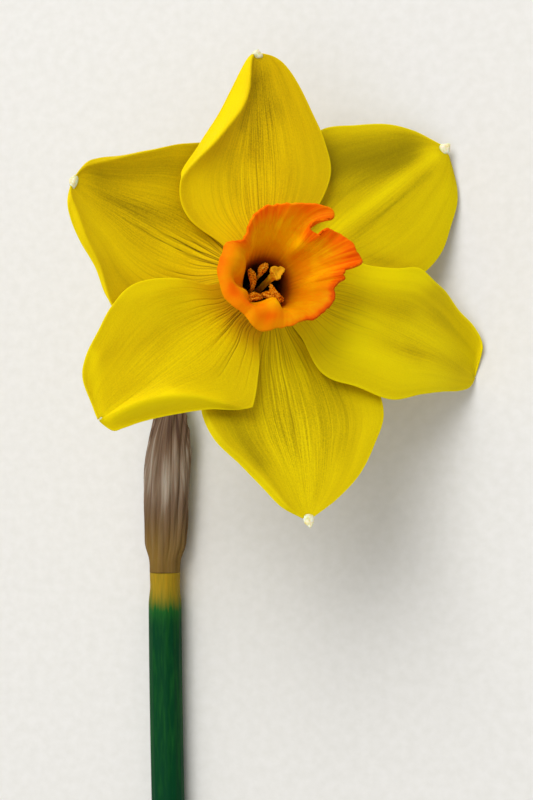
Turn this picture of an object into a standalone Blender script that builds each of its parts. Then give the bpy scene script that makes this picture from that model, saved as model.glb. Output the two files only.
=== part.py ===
# A daffodil bloom with its cut stem, lying on a surface. Metres, +Z up, +Y from the cut end to the flower.
import math

import bmesh
import bpy
import numpy as np
from mathutils import Matrix, Vector

MM = 0.001

# Place and attitude of the flower: its axis leaves the table at FACE_TILT from the vertical.
FLOWER_PLACE = Vector((1.43, 83.18, 30.8)) * MM
FACE_TILT = math.radians(43.1)
FACE_BEARING = math.radians(20.7)

# Flower sizes in millimetres. Heights are along the flower's axis, from where the outer petals leave the tube.
FIT_GAP = 0.3
PETAL_THICKNESS = 0.8
PETAL_POINT_HALF_WIDTH = 0.4
MOUTH_RADIUS = 6.5
PETAL_FOOT = MOUTH_RADIUS + 0.48
OUTER_WHORL = -1.5
INNER_WHORL = 0.0
TUBE_TOP = 0.8
TUBE_END = -20.0
OVARY_LENGTH = 9.0
OVARY_RADIUS = 2.9
CORONA_THICKNESS = 0.8
ANTHER_HALF_LENGTH = 2.1
ANTHER_HALF_WIDTH = 0.85
ANTHER_HALF_DEPTH = 0.7
FILAMENT_RADIUS = 0.35
FILAMENT_FOOT_RADIUS = 2.1
FILAMENT_FOOT_HEIGHT = -11.0
STYLE_FOOT = Vector((0.0, -0.2, -16.5))
STYLE_TOP = Vector((-0.2, 0.5, 6.5))
STYLE_FOOT_RADIUS = 0.5
STYLE_TOP_RADIUS = 0.7
STIGMA_LOBE_RADIUS = 0.85

# Stem sizes in millimetres, with places measured from the flower's own place.
SCAPE_RADIUS = 3.4
SCAPE_HOLLOW_RADIUS = 1.9
SCAPE_HOLLOW_DEPTH = 10.0
STEM_ACROSS = -32.4
JOINT_ALONG = -56.0
CUT_END = (-28.4, -212.0)
PEDICEL_RADIUS = 1.4
NECK_RISE = 10.0
NECK_REACH = 46.0
SCAPE_SHOULDER = 0.4
SCAPE_BEND = 50.0
SPATHE_LENGTH = 34.0
SPATHE_THICKNESS = 0.6
SPATHE_WRAP = math.radians(150.0)
SPATHE_SEAT_RADIUS = 2.3

# Half-widths are in millimetres at even steps from foot to point, left and right as seen from the centre.
# A crest is (height, fall beyond it, its place near the foot, near the point, where it starts, where it settles).
# A wave is (height, number of waves, phase).
PETALS = [
    dict(
        name="petal_top",
        bearing=92.8, length=45.9, whorl=INNER_WHORL, lift=3.5, bow=0.5, sway=-3.0, cup=(0.8, 0.8),
        left=(4.8, 14.3, 15.9, 11.6, 7.4, 4.7, 3.5, 1.0),
        right=(3.6, 11.3, 15.3, 14.3, 11.6, 9.0, 5.9, 1.0),
        crest_left=(2.6, 1.3, 1.0, 0.46, 0.45, 0.80),
    ),
    dict(
        name="petal_right",
        bearing=-16.9, length=47.5, whorl=INNER_WHORL, lift=-5.5, bow=2.2, sway=-3.0, cup=(2.0, 0.0),
        left=(4.8, 9.2, 9.7, 12.1, 12.0, 9.8, 6.6, 4.3),
        right=(4.6, 13.9, 14.5, 14.2, 10.2, 6.9, 4.6, 3.1),
        wave_left=(0.9, 2.2, 0.6),
        wave_right=(0.5, 1.6, 2.0),
    ),
    dict(
        name="petal_lower_left",
        bearing=-139.2, length=44.9, whorl=INNER_WHORL, lift=2.5, bow=1.0, sway=-3.0, cup=(0.6, 0.6),
        left=(3.6, 9.7, 14.4, 10.4, 6.8, 4.7, 3.6, 2.5),
        right=(3.6, 12.2, 16.4, 15.8, 13.4, 11.1, 8.0, 2.7),
        crest_left=(2.2, 1.8, 0.95, 0.58, 0.30, 0.75),
    ),
    dict(
        name="petal_upper_left",
        bearing=152.0, length=41.4, whorl=OUTER_WHORL, lift=3.0, bow=-0.5, sway=1.2, cup=(1.0, 0.8),
        left=(4.8, 16.1, 20.5, 18.6, 13.2, 10.1, 7.3, 4.9),
        right=(4.8, 17.0, 21.1, 18.1, 13.2, 9.1, 6.6, 5.0),
        crest_left=(1.0, 1.0, 0.90, 0.80, 0.55, 0.80),
        crest_right=(1.0, 1.0, 0.95, 0.82, 0.70, 0.90),
    ),
    dict(
        name="petal_upper_right",
        bearing=31.8, length=48.4, whorl=OUTER_WHORL, lift=4.6, bow=-0.3, sway=3.0, cup=(0.0, -1.2),
        left=(3.6, 12.7, 17.8, 18.5, 15.0, 11.3, 6.8, 1.5),
        right=(4.3, 10.5, 14.4, 16.0, 15.3, 12.3, 9.4, 5.0),
    ),
    dict(
        name="petal_bottom",
        bearing=-83.0, length=46.4, whorl=OUTER_WHORL, lift=2.5, bow=0.0, sway=-2.0, cup=(0.3, 0.3),
        left=(4.8, 13.4, 18.2, 19.1, 15.7, 11.7, 6.3, 1.0),
        right=(4.8, 13.7, 17.4, 16.2, 11.6, 7.8, 4.9, 1.0),
        crest_right=(0.5, 1.8, 0.95, 0.75, 0.60, 0.80),
    ),
]

# The cup's rim: its radius at even steps of bearing, and the bearings where it rolls back, is split and folds in.
CORONA_HEIGHT = 11.0
CORONA_FOOT_RADIUS = 5.7
CORONA_RIM_RADII = (13.3, 15.2, 15.2, 13.8, 11.9, 11.3, 9.6, 11.8, 12.5, 13.0, 12.4, 13.2, 11.4, 10.6, 11.3, 10.7)
CORONA_ROLLED_SIDE = -145.0
CORONA_NOTCH = 46.0
CORONA_FOLD = -118.0

# Each stamen: where it leaves the tube's wall, the middle of its anther, and the way the anther points.
STAMENS = [
    dict(foot_bearing=165.0, middle=(-3.8, 0.0, 3.0), points=(-2.4, 3.1, 2.4)),
    dict(foot_bearing=118.0, middle=(-1.8, 2.0, 3.5), points=(-0.5, 2.0, 3.9)),
    dict(foot_bearing=-122.0, middle=(-3.0, -3.1, 1.4), points=(-0.8, -0.6, 3.0)),
    dict(foot_bearing=-78.0, middle=(-0.4, -3.6, 1.5), points=(0.2, -1.2, 3.4)),
    dict(foot_bearing=-25.0, middle=(1.7, -2.5, 2.2), points=(1.0, -3.2, 2.7)),
    dict(foot_bearing=48.0, middle=(2.4, 2.0, -0.5), points=(0.6, 0.8, 3.0)),
]


def clear_scene():
    for obj in list(bpy.data.objects):
        bpy.data.objects.remove(obj, do_unlink=True)


def new_collection(name):
    collection = bpy.data.collections.new(name)
    bpy.context.scene.collection.children.link(collection)
    return collection


def make_material(name, colour, roughness):
    material = bpy.data.materials.new(name)
    material.use_nodes = True
    shader = material.node_tree.nodes["Principled BSDF"]
    shader.inputs["Base Color"].default_value = (*colour, 1.0)
    shader.inputs["Roughness"].default_value = roughness
    material.diffuse_color = (*colour, 1.0)
    return material


def place_object(name, data, collection, material, parent=None):
    obj = bpy.data.objects.new(name, data)
    collection.objects.link(obj)
    if not data.materials:
        data.materials.append(material)
    obj.parent = parent
    return obj


def smooth(x):
    x = np.clip(x, 0.0, 1.0)
    return x * x * (3.0 - 2.0 * x)


def through(values, share):
    """A smooth line through evenly spaced values, read at a share of its length."""
    values = np.asarray(values, float)
    last = len(values) - 1
    place = np.clip(share, 0.0, 1.0) * last
    i = np.minimum(place.astype(int), last - 1)
    t = place - i
    a, b = values[np.maximum(i - 1, 0)], values[i]
    c, d = values[i + 1], values[np.minimum(i + 2, last)]
    return 0.5 * (2 * b + (c - a) * t + (2 * a - 5 * b + 4 * c - d) * t**2 + (3 * b - a - 3 * c + d) * t**3)


def crest_height(side, along, crest):
    """Height of a ridge that runs down one side of a petal, with the margin beyond it rolled back."""
    height, fall, near_foot, near_point, start, settled = crest
    side = np.maximum(side, 0.0)
    place = near_foot + (near_point - near_foot) * smooth((along - start) / (settled - start))
    spread = 0.38
    level = np.exp(-((place / spread) ** 2))
    inner = np.exp(-(((side - place) / spread) ** 2))
    outer = 1.0 - fall * smooth((side - place) / np.maximum(1.0 - place, 0.05))
    fade_in = smooth((along - start + 0.25) / 0.4)
    return height * (np.where(side < place, inner, outer) - level) * fade_in


def petal_point(petal, share, side):
    """A point on a petal in millimetres. share runs from foot to point, side from -1 (right) to 1 (left)."""
    along = np.sin(share * math.pi / 2)
    left = through((*petal["left"], PETAL_POINT_HALF_WIDTH), share)
    right = through((*petal["right"], PETAL_POINT_HALF_WIDTH), share)
    half = np.where(side >= 0, left, right)
    claw = np.where(side >= 0, petal["left"][0], petal["right"][0])
    foot_angle = side * np.arcsin(claw / PETAL_FOOT)
    across = side * half + petal["sway"] * along**2
    out = PETAL_FOOT * np.cos(foot_angle) * (1.0 - along) + petal["length"] * along
    height = petal["whorl"] + petal["lift"] * along**2 + petal["bow"] * np.sin(math.pi * along)
    narrowing = np.minimum(half / 5.0, 1.0)
    shaped = np.where(side >= 0, petal["cup"][0], petal["cup"][1]) * side**2 * np.sqrt(along)
    for key, sign in (("left", 1.0), ("right", -1.0)):
        if "crest_" + key in petal:
            shaped = shaped + crest_height(side * sign, along, petal["crest_" + key])
        if "wave_" + key in petal:
            rise, waves, phase = petal["wave_" + key]
            ripple = np.sin(2 * math.pi * waves * along + phase)
            shaped = shaped + rise * np.maximum(side * sign, 0.0) ** 2 * ripple * along
    bearing = math.radians(petal["bearing"])
    x = out * math.cos(bearing) - across * math.sin(bearing)
    y = out * math.sin(bearing) + across * math.cos(bearing)
    return x, y, height + shaped * narrowing


def shaped_grid(name, columns, rows, shape, closed=False):
    """A grid whose points are moved by shape(u, v), with u and v from 0 to 1. closed joins its first and last columns."""
    bm = bmesh.new()
    bmesh.ops.create_grid(bm, x_segments=columns, y_segments=rows, size=0.5)
    flat = np.array([vert.co[:2] for vert in bm.verts]) + 0.5
    points = np.stack(shape(flat[:, 0], flat[:, 1]), axis=-1) * MM
    for vert, point in zip(bm.verts, points):
        vert.co = point
    if closed:
        bmesh.ops.remove_doubles(bm, verts=bm.verts, dist=0.00001)
    mesh = bpy.data.meshes.new(name)
    bm.to_mesh(mesh)
    bm.free()
    return mesh


def thicken(obj, thickness, offset=0.0):
    modifier = obj.modifiers.new("Thickness", "SOLIDIFY")
    modifier.thickness = thickness * MM
    modifier.offset = offset
    modifier.use_even_offset = False


def add_petal(petal, collection, material, parent):
    def shape(u, v):
        return petal_point(petal, v, 2.0 * u - 1.0)

    mesh = shaped_grid(petal["name"], 13, 21, shape)
    obj = place_object(petal["name"], mesh, collection, material, parent)
    thicken(obj, PETAL_THICKNESS)


def angle_from(bearing, centre_degrees):
    """How far a bearing is from a centre, in degrees from -180 to 180."""
    return (np.degrees(bearing) - centre_degrees + 180.0) % 360.0 - 180.0


def corona_point(u, v):
    """A point on the cup. u runs round it from bearing 0, v from its foot to its rim."""
    bearing = 2 * math.pi * u
    lap = (*CORONA_RIM_RADII[-1:], *CORONA_RIM_RADII, *CORONA_RIM_RADII[:2])
    steps = len(CORONA_RIM_RADII)
    rim_radius = through(lap, (1 + u * steps) / (steps + 2))
    rolled = 0.5 + 0.5 * np.cos(np.radians(angle_from(bearing, CORONA_ROLLED_SIDE)))
    notch = np.exp(-((angle_from(bearing, CORONA_NOTCH) / 5.0) ** 2))
    fold = np.exp(-((angle_from(bearing, CORONA_FOLD) / 18.0) ** 2))
    rim_radius = rim_radius - 4.2 * notch
    rim_height = CORONA_HEIGHT - 2.6 * rolled + 0.5 * np.sin(5 * bearing + 0.6) - 1.2 * notch
    foot = TUBE_TOP + FIT_GAP + CORONA_THICKNESS / 2
    weights = ((1 - v) ** 3, 3 * (1 - v) ** 2 * v, 3 * (1 - v) * v**2, v**3)
    radii = (
        CORONA_FOOT_RADIUS,
        CORONA_FOOT_RADIUS + 1.7 - 1.0 * rolled,
        rim_radius - 3.4 - 1.3 * rolled - 1.2 * fold,
        rim_radius,
    )
    heights = (foot, foot + 3.4 + 2.2 * rolled, rim_height - 1.8 + 5.2 * rolled, rim_height)
    radius = sum(w * r for w, r in zip(weights, radii))
    height = sum(w * h for w, h in zip(weights, heights))
    return radius * np.cos(bearing), radius * np.sin(bearing), height


def add_corona(collection, material, parent):
    mesh = shaped_grid("corona", 73, 10, corona_point, closed=True)
    obj = place_object("corona", mesh, collection, material, parent)
    thicken(obj, CORONA_THICKNESS)


def turned(name, profile, steps, collection, material, parent):
    """A solid turned round the flower's axis from (radius, height) points in millimetres."""
    mesh = bpy.data.meshes.new(name)
    points = [(radius * MM, 0.0, height * MM) for radius, height in profile]
    mesh.from_pydata(points, [(i, i + 1) for i in range(len(points) - 1)], [])
    obj = place_object(name, mesh, collection, material, parent)
    screw = obj.modifiers.new("Turn", "SCREW")
    screw.steps = steps
    screw.render_steps = steps
    screw.use_merge_vertices = True
    screw.merge_threshold = 0.00001
    return obj


def add_tube(collection, material, parent):
    profile = [
        (0.0, -17.0), (1.8, -16.5), (2.8, -11.0), (4.2, -5.0), (5.2, -1.0), (5.3, TUBE_TOP),
        (MOUTH_RADIUS - 0.2, TUBE_TOP), (MOUTH_RADIUS, 0.4), (MOUTH_RADIUS, -2.2), (5.9, -3.6),
        (4.6, -7.5), (3.6, -13.0), (3.0, TUBE_END), (0.0, TUBE_END),
    ]
    return turned("perianth_tube", profile, 32, collection, material, parent)


def add_ovary(collection, material, parent):
    top = TUBE_END - FIT_GAP
    steps = 9
    profile = [(0.0, top)]
    for i in range(steps + 1):
        share = i / steps
        swell = math.sin(math.pi * share) ** 0.8
        radius = 2.5 * (1 - share) + PEDICEL_RADIUS * share + (OVARY_RADIUS - 1.7) * swell
        profile.append((radius, top - OVARY_LENGTH * share))
    profile.append((0.0, top - OVARY_LENGTH))
    return turned("ovary", profile, 24, collection, material, parent)


def tube_along(name, points, radii, collection, material, sides=3, parent=None):
    """A round stalk through points in millimetres, with its own radius at each point."""
    curve = bpy.data.curves.new(name, "CURVE")
    curve.dimensions = "3D"
    curve.bevel_depth = MM
    curve.bevel_resolution = sides
    curve.use_fill_caps = True
    spline = curve.splines.new("POLY")
    spline.points.add(len(points) - 1)
    for point, place, radius in zip(spline.points, points, radii):
        point.co = (*(Vector(place) * MM), 1.0)
        point.radius = radius
    return place_object(name, curve, collection, material, parent)


def as_mesh(obj):
    """Turns a curve object into a mesh object with the same name and place, its caps welded."""
    graph = bpy.context.evaluated_depsgraph_get()
    mesh = bpy.data.meshes.new_from_object(obj.evaluated_get(graph))
    bm = bmesh.new()
    bm.from_mesh(mesh)
    bmesh.ops.remove_doubles(bm, verts=bm.verts, dist=0.000001)
    bmesh.ops.recalc_face_normals(bm, faces=bm.faces)
    bm.to_mesh(mesh)
    bm.free()
    name, parent, collection = obj.name, obj.parent, obj.users_collection[0]
    placed = obj.matrix_world.copy()
    bpy.data.objects.remove(obj, do_unlink=True)
    made = bpy.data.objects.new(name, mesh)
    collection.objects.link(made)
    made.parent = parent
    made.matrix_world = placed
    return made


def bezier(a, b, c, d, count):
    """Even steps along a cubic curve from a to d, steered by b and c."""
    points = []
    for i in range(count):
        t = i / (count - 1)
        points.append(a * (1 - t) ** 3 + b * 3 * (1 - t) ** 2 * t + c * 3 * (1 - t) * t**2 + d * t**3)
    return points


def on_table(across, along, height):
    """A point given across and along from the flower's place, and up from the table, in world millimetres."""
    return Vector((FLOWER_PLACE.x / MM + across, FLOWER_PLACE.y / MM + along, height))


def neck_points(attitude, count):
    """The pedicel's middle line, from behind the ovary to the top of the scape."""
    axis = attitude @ Vector((0.0, 0.0, 1.0))
    start = FLOWER_PLACE / MM + axis * (TUBE_END - OVARY_LENGTH - 3 * FIT_GAP)
    end = on_table(STEM_ACROSS, JOINT_ALONG + FIT_GAP, SCAPE_RADIUS)
    return bezier(start, start - axis * NECK_RISE, end + Vector((0.0, NECK_REACH, 0.0)), end, count)


def add_pedicel(attitude, collection, material):
    points = neck_points(attitude, 18)
    return tube_along("pedicel", points, [PEDICEL_RADIUS] * len(points), collection, material)


def add_scape(collection, cutters, material):
    across, along = CUT_END
    top = on_table(STEM_ACROSS, JOINT_ALONG, SCAPE_RADIUS)
    end = on_table(across, along, SCAPE_RADIUS)
    bend = Vector((0.0, -SCAPE_BEND, 0.0))
    points = bezier(top, top + bend, end - bend - Vector((1.2, 0.0, 0.0)), end, 26)
    radii = [SCAPE_RADIUS - SCAPE_SHOULDER * (1 - smooth(i / 3.0)) for i in range(len(points))]
    scape = as_mesh(tube_along("scape", points, radii, collection, material, sides=4))
    bm = bmesh.new()
    bmesh.ops.create_cone(
        bm, cap_ends=True, segments=16,
        radius1=SCAPE_HOLLOW_RADIUS * MM, radius2=SCAPE_HOLLOW_RADIUS * MM, depth=2 * SCAPE_HOLLOW_DEPTH * MM,
    )
    mesh = bpy.data.meshes.new("scape_hollow")
    bm.to_mesh(mesh)
    bm.free()
    cutter = place_object("scape_hollow", mesh, cutters, material)
    cutter.location = end * MM
    cutter.rotation_euler = (points[-1] - points[-2]).to_track_quat("Z", "Y").to_euler()
    cutter.hide_render = True
    cutter.display_type = "WIRE"
    cut = scape.modifiers.new("Hollow", "BOOLEAN")
    cut.object = cutter
    cut.operation = "DIFFERENCE"
    cut.solver = "EXACT"
    return scape


def add_spathe(attitude, collection, material):
    """A papery sheath round the pedicel, split along its underside and ending in a long point."""
    line = neck_points(attitude, 60)[::-1]
    travelled = [0.0]
    for a, b in zip(line, line[1:]):
        travelled.append(travelled[-1] + (b - a).length)

    def shape(u, v):
        xs, ys, zs = [], [], []
        for across, along in zip(u, v):
            distance = 0.05 + SPATHE_LENGTH * along
            i = min(int(np.searchsorted(travelled, distance)), len(line) - 1)
            back = (distance - travelled[i - 1]) / (travelled[i] - travelled[i - 1])
            middle = line[i - 1].lerp(line[i], back)
            forward = (line[i] - line[i - 1]).normalized()
            sideways = forward.cross(Vector((0.0, 0.0, 1.0))).normalized()
            upward = sideways.cross(forward)
            wrap = SPATHE_WRAP * (1.0 - 0.72 * along**2.2)
            turn = (2.0 * across - 1.0) * wrap
            swell = math.sin(math.pi * (0.12 + 0.75 * along)) ** 0.7
            wide = SPATHE_SEAT_RADIUS + 2.4 * swell
            deep = SPATHE_SEAT_RADIUS + 0.5 * swell
            point = middle + sideways * (wide * math.sin(turn)) + upward * (deep * math.cos(turn))
            xs.append(point.x)
            ys.append(point.y)
            zs.append(point.z)
        return np.array(xs), np.array(ys), np.array(zs)

    mesh = shaped_grid("spathe", 15, 18, shape)
    obj = place_object("spathe", mesh, collection, material)
    thicken(obj, SPATHE_THICKNESS)
    return obj


def add_stamen(number, stamen, collection, materials, parent):
    """A filament that rises along the tube's wall, and the anther at its end."""
    middle = Vector(stamen["middle"])
    direction = Vector(stamen["points"]).normalized()
    top = middle - direction * (ANTHER_HALF_LENGTH + FIT_GAP)
    bearing = math.radians(stamen["foot_bearing"])
    foot = Vector((math.cos(bearing), math.sin(bearing), 0.0)) * FILAMENT_FOOT_RADIUS
    foot.z = FILAMENT_FOOT_HEIGHT
    line = bezier(foot, foot + Vector((0.0, 0.0, 6.0)), top - direction * 1.5 - Vector((0.0, 0.0, 2.0)), top, 9)
    tube_along(f"filament_{number}", line, [FILAMENT_RADIUS] * len(line), collection, materials["filament"], 2, parent)
    bm = bmesh.new()
    bmesh.ops.create_uvsphere(bm, u_segments=12, v_segments=8, radius=MM)
    for vert in bm.verts:
        vert.co = Vector((
            vert.co.x * ANTHER_HALF_WIDTH, vert.co.y * ANTHER_HALF_DEPTH, vert.co.z * ANTHER_HALF_LENGTH,
        ))
    mesh = bpy.data.meshes.new(f"anther_{number}")
    bm.to_mesh(mesh)
    bm.free()
    anther = place_object(f"anther_{number}", mesh, collection, materials["anther"], parent)
    anther.matrix_local = Matrix.LocRotScale(middle * MM, direction.to_track_quat("Z", "Y"), None)


def add_pistil(collection, cutters, material, parent):
    """The style, joined to the three lobes of its stigma."""
    foot = STYLE_FOOT
    top = STYLE_TOP
    line = bezier(foot, foot + Vector((0.0, 0.0, 8.0)), top - Vector((0.1, 0.4, 8.0)), top, 12)
    radii = np.linspace(STYLE_FOOT_RADIUS, STYLE_TOP_RADIUS, len(line)).tolist()
    style = as_mesh(tube_along("pistil", line, radii, collection, material, 2, parent))
    for i in range(3):
        bearing = math.radians(95.0 + 120.0 * i)
        bm = bmesh.new()
        bmesh.ops.create_uvsphere(bm, u_segments=10, v_segments=7, radius=STIGMA_LOBE_RADIUS * MM)
        mesh = bpy.data.meshes.new("stigma_lobe")
        bm.to_mesh(mesh)
        bm.free()
        lobe = place_object("stigma_lobe", mesh, cutters, material, parent)
        lobe.location = (top + Vector((math.cos(bearing), math.sin(bearing), 0.25)) * 0.7) * MM
        lobe.hide_render = True
        lobe.display_type = "WIRE"
        join = style.modifiers.new("Lobe", "BOOLEAN")
        join.object = lobe
        join.operation = "UNION"
        join.solver = "EXACT"


def flower_attitude():
    """The turn that lays the flower's own axes in the world: its face along Z, its top petal nearest to +Y."""
    face = Vector((
        math.sin(FACE_TILT) * math.cos(FACE_BEARING),
        math.sin(FACE_TILT) * math.sin(FACE_BEARING),
        math.cos(FACE_TILT),
    ))
    up = (Vector((0.0, 1.0, 0.0)) - face * face.y).normalized()
    across = up.cross(face)
    return Matrix((across, up, face)).transposed()


def main():
    clear_scene()
    collection = new_collection("daffodil_flower")
    cutters = new_collection("cutters")
    materials = {
        "inner_petal": make_material("petal yellow, inner whorl", (0.72, 0.46, 0.005), 0.45),
        "outer_petal": make_material("petal yellow, outer whorl", (0.60, 0.40, 0.005), 0.45),
        "corona": make_material("corona orange", (0.83, 0.20, 0.002), 0.45),
        "tube": make_material("pale green-yellow tube", (0.45, 0.46, 0.08), 0.5),
        "ovary": make_material("ovary green", (0.12, 0.22, 0.03), 0.5),
        "scape": make_material("stem blue-green", (0.05, 0.16, 0.08), 0.5),
        "spathe": make_material("dry papery brown", (0.24, 0.15, 0.09), 0.7),
        "filament": make_material("filament yellow", (0.55, 0.42, 0.05), 0.5),
        "anther": make_material("pollen orange", (0.62, 0.25, 0.02), 0.8),
        "pistil": make_material("pistil pale yellow", (0.70, 0.50, 0.07), 0.5),
    }
    attitude = flower_attitude()
    flower = bpy.data.objects.new("flower_place", None)
    collection.objects.link(flower)
    flower.matrix_world = Matrix.Translation(FLOWER_PLACE) @ attitude.to_4x4()
    bpy.context.view_layer.update()

    for petal in PETALS:
        whorl = "inner_petal" if petal["whorl"] == INNER_WHORL else "outer_petal"
        add_petal(petal, collection, materials[whorl], flower)
    add_corona(collection, materials["corona"], flower)
    add_tube(collection, materials["tube"], flower)
    add_ovary(collection, materials["ovary"], flower)
    for number, stamen in enumerate(STAMENS, 1):
        add_stamen(number, stamen, collection, materials, flower)
    add_pistil(collection, cutters, materials["pistil"], flower)
    add_pedicel(attitude, collection, materials["ovary"])
    add_scape(collection, cutters, materials["scape"])
    add_spathe(attitude, collection, materials["spathe"])


main()
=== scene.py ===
import math
from functools import partial

import bpy
import numpy as np
from mathutils import Matrix, Vector, noise


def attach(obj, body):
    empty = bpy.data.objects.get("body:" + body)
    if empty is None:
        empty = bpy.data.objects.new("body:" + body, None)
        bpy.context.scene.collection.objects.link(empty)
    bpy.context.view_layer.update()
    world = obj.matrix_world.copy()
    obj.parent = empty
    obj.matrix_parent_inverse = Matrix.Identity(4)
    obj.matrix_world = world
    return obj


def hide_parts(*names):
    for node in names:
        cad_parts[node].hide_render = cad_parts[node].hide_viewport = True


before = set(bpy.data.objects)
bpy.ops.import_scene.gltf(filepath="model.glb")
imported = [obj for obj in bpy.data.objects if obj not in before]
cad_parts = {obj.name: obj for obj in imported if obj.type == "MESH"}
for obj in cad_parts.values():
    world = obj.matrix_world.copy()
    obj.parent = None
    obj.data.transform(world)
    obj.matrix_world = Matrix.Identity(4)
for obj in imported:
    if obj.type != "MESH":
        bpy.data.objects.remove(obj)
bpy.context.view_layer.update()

mm = 0.001
bpy.context.scene.view_settings.view_transform = "Standard"

# The bloom's own axes: its face looks along the third one, its top petal is nearest to +Y
bloom = {
    "place": (1.43, 83.18, 30.8),  # mm, middle of the throat
    "tilt": 43.1,  # degrees from upright
    "bearing": 20.7,  # degrees
}


def bloomAxes():
    tilt = math.radians(bloom["tilt"])
    bearing = math.radians(bloom["bearing"])
    face = Vector((math.sin(tilt) * math.cos(bearing), math.sin(tilt) * math.sin(bearing), math.cos(tilt)))
    up = (Vector((0, 1, 0)) - face * face.y).normalized()
    return Matrix((up.cross(face), up, face)).transposed()


axes = bloomAxes()
face = np.array(axes.col[2])
place = Vector(bloom["place"])
throat = np.array(place)


def fromBloom(points):  # mm beside the bloom's axes to metres in the world
    return (np.asarray(points, float) @ np.array(axes).T + throat) * mm


def deselectAll():
    if bpy.context.mode != "OBJECT":
        bpy.ops.object.mode_set(mode="OBJECT")
    bpy.ops.object.select_all(action="DESELECT")


def selectOnly(piece):
    deselectAll()
    piece.select_set(True)
    bpy.context.view_layer.objects.active = piece


def shadeSmooth(piece):
    selectOnly(piece)
    bpy.ops.object.shade_smooth()


def applyModifier(piece, kind, **settings):
    selectOnly(piece)
    modifier = piece.modifiers.new(kind.title(), kind)
    for name, value in settings.items():
        setattr(modifier, name, value)
    bpy.ops.object.modifier_apply(modifier=modifier.name)


def readPoints(piece):
    points = np.empty(len(piece.data.vertices) * 3)
    piece.data.vertices.foreach_get("co", points)
    return points.reshape(-1, 3)


def writePoints(piece, points):
    piece.data.vertices.foreach_set("co", points.ravel())


def smooth(x):  # an even step from 0 to 1
    x = np.clip(x, 0, 1)
    return x * x * (3 - 2 * x)


def hill(x, width):  # 1 at 0, fading on both sides
    return np.exp(-((x / width) ** 2))


def through(values, share):  # a smooth line through evenly spaced values
    values = np.asarray(values, float)
    last = len(values) - 1
    spot = np.clip(share, 0, 1) * last
    i = np.minimum(spot.astype(int), last - 1)
    t = spot - i
    a, b = values[np.maximum(i - 1, 0)], values[i]
    c, d = values[i + 1], values[np.minimum(i + 2, last)]
    return 0.5 * (2 * b + (c - a) * t + (2 * a - 5 * b + 4 * c - d) * t**2 + (3 * b - a - 3 * c + d) * t**3)


def ripple(x, y, z=0.0, size=1.0):  # soft noise from -1 to 1 at each point
    spots = np.stack(np.broadcast_arrays(x, y, z), axis=-1).reshape(-1, 3) / size
    return np.array([noise.noise(Vector(spot)) for spot in spots]).reshape(np.shape(x))


def addSheet(name, columns, rows, shape, marks, closed=False):
    deselectAll()
    bpy.ops.mesh.primitive_grid_add(x_subdivisions=columns, y_subdivisions=rows, size=1)
    piece = bpy.context.object
    piece.name = piece.data.name = name
    u, v = readPoints(piece)[:, :2].T + 0.5
    writePoints(piece, shape(u, v))
    for mark, values in marks(u, v).items():
        layer = piece.data.attributes.new(mark, "FLOAT", "POINT")
        layer.data.foreach_set("value", np.asarray(values, np.float32))
    if closed:
        bpy.ops.object.mode_set(mode="EDIT")
        bpy.ops.mesh.select_all(action="SELECT")
        bpy.ops.mesh.remove_doubles(threshold=0.000004)
        bpy.ops.mesh.normals_make_consistent(inside=False)
        bpy.ops.object.mode_set(mode="OBJECT")
    shadeSmooth(piece)
    return piece


def addBall(name, segments, rings):
    deselectAll()
    bpy.ops.mesh.primitive_uv_sphere_add(segments=segments, ring_count=rings, radius=1)
    piece = bpy.context.object
    piece.name = piece.data.name = name
    return piece


def finishPiece(piece, slot, material, *nodes):
    if material is not None:
        piece.data.materials.clear()
        piece.data.materials.append(material)
    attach(piece, "root")
    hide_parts(*nodes)


def linear(code):  # sRGB hex to linear colour
    parts = [int(code[i:i + 2], 16) / 255 for i in (1, 3, 5)]
    return tuple(c / 12.92 if c <= 0.04045 else ((c + 0.055) / 1.055) ** 2.4 for c in parts) + (1.0,)


def addNode(material, kind, inputs=None, stops=None, **settings):
    node = material.node_tree.nodes.new("ShaderNode" + kind)
    for name, value in settings.items():
        setattr(node, name, value)
    for key, value in (inputs or {}).items():
        if isinstance(value, bpy.types.Node):
            value = value.outputs[0]  # a node stands for its first output
        if isinstance(value, bpy.types.NodeSocket):
            material.node_tree.links.new(value, node.inputs[key])
        else:
            node.inputs[key].default_value = value
    if stops:
        ramp = node.color_ramp
        while len(ramp.elements) < len(stops):
            ramp.elements.new(0.5)
        for element, (spot, code) in zip(ramp.elements, stops):
            element.position = spot
            element.color = linear(code)
    return node


def newMaterial(name, **sockets):  # the material, and what adds a node to it
    material = bpy.data.materials.new(name)
    material.use_nodes = True
    shader = material.node_tree.nodes["Principled BSDF"]
    for key, value in sockets.items():
        shader.inputs[key.replace("_", " ")].default_value = value
    return material, partial(addNode, material)


def finishSkin(material, colour, bump=None):
    shader = material.node_tree.nodes["Principled BSDF"].inputs
    material.node_tree.links.new(colour, shader["Base Color"])
    if bump:
        material.node_tree.links.new(bump.outputs["Normal"], shader["Normal"])
    return material


# Coordinates that run round a closed piece with no seam, and along it
def roundAndAlong(add):
    uv = add("TexCoord").outputs["UV"]
    parts = add("SeparateXYZ", {"Vector": uv}).outputs
    angle = add("Math", {0: parts["X"], 1: 2 * math.pi}, operation="MULTIPLY")
    cosine = add("Math", {0: angle}, operation="COSINE")
    sine = add("Math", {0: angle}, operation="SINE")
    return add("CombineXYZ", {"X": cosine, "Y": sine, "Z": parts["Y"]})


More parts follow.
